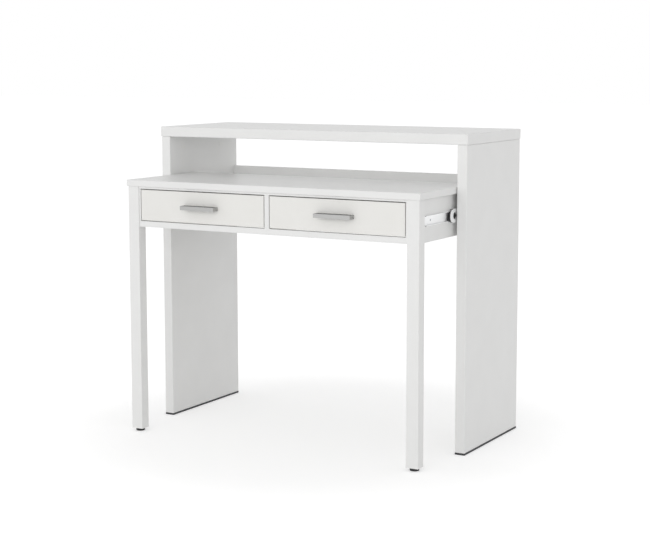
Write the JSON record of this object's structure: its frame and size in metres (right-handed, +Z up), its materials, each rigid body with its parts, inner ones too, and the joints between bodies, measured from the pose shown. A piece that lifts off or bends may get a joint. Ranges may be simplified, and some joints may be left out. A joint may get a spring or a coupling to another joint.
{
  "type": "extendable desk",
  "caption": "White console table with a two-drawer desk that slides out from under it on telescopic slides.",
  "frame": {"origin": "on the floor, in the middle of the width and of the whole depth, with the desk pulled out 209 mm", "axes": "+X to the right along the width, +Y from the desk's front to the console's back, +Z up"},
  "size_m": [0.99, 0.59, 0.865],
  "materials": {
    "white_board": "satin white melamine on particle board",
    "drawer_front_board": "satin off-white melamine on particle board",
    "drawer_box_board": "matt white foil on particle board",
    "hardboard": "white lacquered hardboard",
    "handle_aluminium": "satin",
    "zinc_steel": "bright zinc plating",
    "zinc_fittings": "zinc plating",
    "slide_cage": "pressed steel cages with bright steel balls",
    "black_plastic": "moulded black plastic",
    "floor_strip_plastic": "dark extruded plastic",
    "white_plastic": "moulded white plastic",
    "beech": "raw beech"
  },
  "bodies": {
    "console": {"console_top": "white_board", "left_side_panel": "white_board", "right_side_panel": "white_board", "back_rail": "white_board", "left_floor_strip": "floor_strip_plastic", "right_floor_strip": "floor_strip_plastic", "floor_strip_screws": "zinc_fittings", "console_dowels": "beech", "console_cam_fittings": "zinc_fittings", "console_cam_caps": "white_plastic", "left_slide_outer_member": "zinc_steel", "right_slide_outer_member": "zinc_steel", "slide_outer_screws": "zinc_fittings"},
    "desk": {"desk_top": "white_board", "left_leg": "white_board", "right_leg": "white_board", "left_side_rail": "white_board", "right_side_rail": "white_board", "front_frame": "white_board", "drawer_divider": "white_board", "rear_rail": "white_board", "left_glide": "black_plastic", "right_glide": "black_plastic", "desk_dowels": "beech", "desk_cam_fittings": "zinc_fittings", "desk_screws": "zinc_fittings", "left_slide_inner_member": "zinc_steel", "right_slide_inner_member": "zinc_steel", "left_drawer_outer_track": "zinc_steel", "left_drawer_inner_track": "zinc_steel", "right_drawer_outer_track": "zinc_steel", "right_drawer_inner_track": "zinc_steel"},
    "left_middle": {"left_slide_middle_member": "zinc_steel", "left_slide_stop": "black_plastic"},
    "left_outer_cage": {"left_slide_outer_cage": "slide_cage"},
    "left_inner_cage": {"left_slide_inner_cage": "slide_cage"},
    "right_middle": {"right_slide_middle_member": "zinc_steel", "right_slide_stop": "black_plastic"},
    "right_outer_cage": {"right_slide_outer_cage": "slide_cage"},
    "right_inner_cage": {"right_slide_inner_cage": "slide_cage"},
    "left_drawer": {"left_drawer_front": "drawer_front_board", "left_drawer_outer_side": "drawer_box_board", "left_drawer_inner_side": "drawer_box_board", "left_drawer_back": "drawer_box_board", "left_drawer_bottom": "hardboard", "left_drawer_handle": "handle_aluminium", "left_drawer_fasteners": "zinc_fittings", "left_drawer_outer_runner": "zinc_steel", "left_drawer_inner_runner": "zinc_steel"},
    "left_drawer_cages": {"left_drawer_ball_cages": "slide_cage"},
    "right_drawer": {"right_drawer_front": "drawer_front_board", "right_drawer_outer_side": "drawer_box_board", "right_drawer_inner_side": "drawer_box_board", "right_drawer_back": "drawer_box_board", "right_drawer_bottom": "hardboard", "right_drawer_handle": "handle_aluminium", "right_drawer_fasteners": "zinc_fittings", "right_drawer_outer_runner": "zinc_steel", "right_drawer_inner_runner": "zinc_steel"},
    "right_drawer_cages": {"right_drawer_ball_cages": "slide_cage"}
  },
  "joints": [
    {"name": "desk_slide", "type": "slide", "parent": "console", "child": "desk", "axis": [0, -1, 0], "range_m": [-0.209, 0.091]},
    {"name": "left_middle_slide", "type": "slide", "parent": "console", "child": "left_middle", "axis": [0, -1, 0], "range_m": [-0.1045, 0.0455]},
    {"name": "left_outer_cage_slide", "type": "slide", "parent": "console", "child": "left_outer_cage", "axis": [0, -1, 0], "range_m": [-0.05225, 0.02275]},
    {"name": "left_inner_cage_slide", "type": "slide", "parent": "console", "child": "left_inner_cage", "axis": [0, -1, 0], "range_m": [-0.15675, 0.06825]},
    {"name": "right_middle_slide", "type": "slide", "parent": "console", "child": "right_middle", "axis": [0, -1, 0], "range_m": [-0.1045, 0.0455]},
    {"name": "right_outer_cage_slide", "type": "slide", "parent": "console", "child": "right_outer_cage", "axis": [0, -1, 0], "range_m": [-0.05225, 0.02275]},
    {"name": "right_inner_cage_slide", "type": "slide", "parent": "console", "child": "right_inner_cage", "axis": [0, -1, 0], "range_m": [-0.15675, 0.06825]},
    {"name": "left_drawer_slide", "type": "slide", "parent": "desk", "child": "left_drawer", "axis": [0, -1, 0], "range_m": [0, 0.18]},
    {"name": "left_drawer_cage_slide", "type": "slide", "parent": "desk", "child": "left_drawer_cages", "axis": [0, -1, 0], "range_m": [0, 0.09]},
    {"name": "right_drawer_slide", "type": "slide", "parent": "desk", "child": "right_drawer", "axis": [0, -1, 0], "range_m": [0, 0.18]},
    {"name": "right_drawer_cage_slide", "type": "slide", "parent": "desk", "child": "right_drawer_cages", "axis": [0, -1, 0], "range_m": [0, 0.09]}
  ],
  "couplings": [
    {"joint": "left_middle_slide", "follows": "desk_slide", "ratio": 0.5},
    {"joint": "left_outer_cage_slide", "follows": "desk_slide", "ratio": 0.25},
    {"joint": "left_inner_cage_slide", "follows": "desk_slide", "ratio": 0.75},
    {"joint": "right_middle_slide", "follows": "desk_slide", "ratio": 0.5},
    {"joint": "right_outer_cage_slide", "follows": "desk_slide", "ratio": 0.25},
    {"joint": "right_inner_cage_slide", "follows": "desk_slide", "ratio": 0.75},
    {"joint": "left_drawer_cage_slide", "follows": "left_drawer_slide", "ratio": 0.5},
    {"joint": "right_drawer_cage_slide", "follows": "right_drawer_slide", "ratio": 0.5}
  ]
}
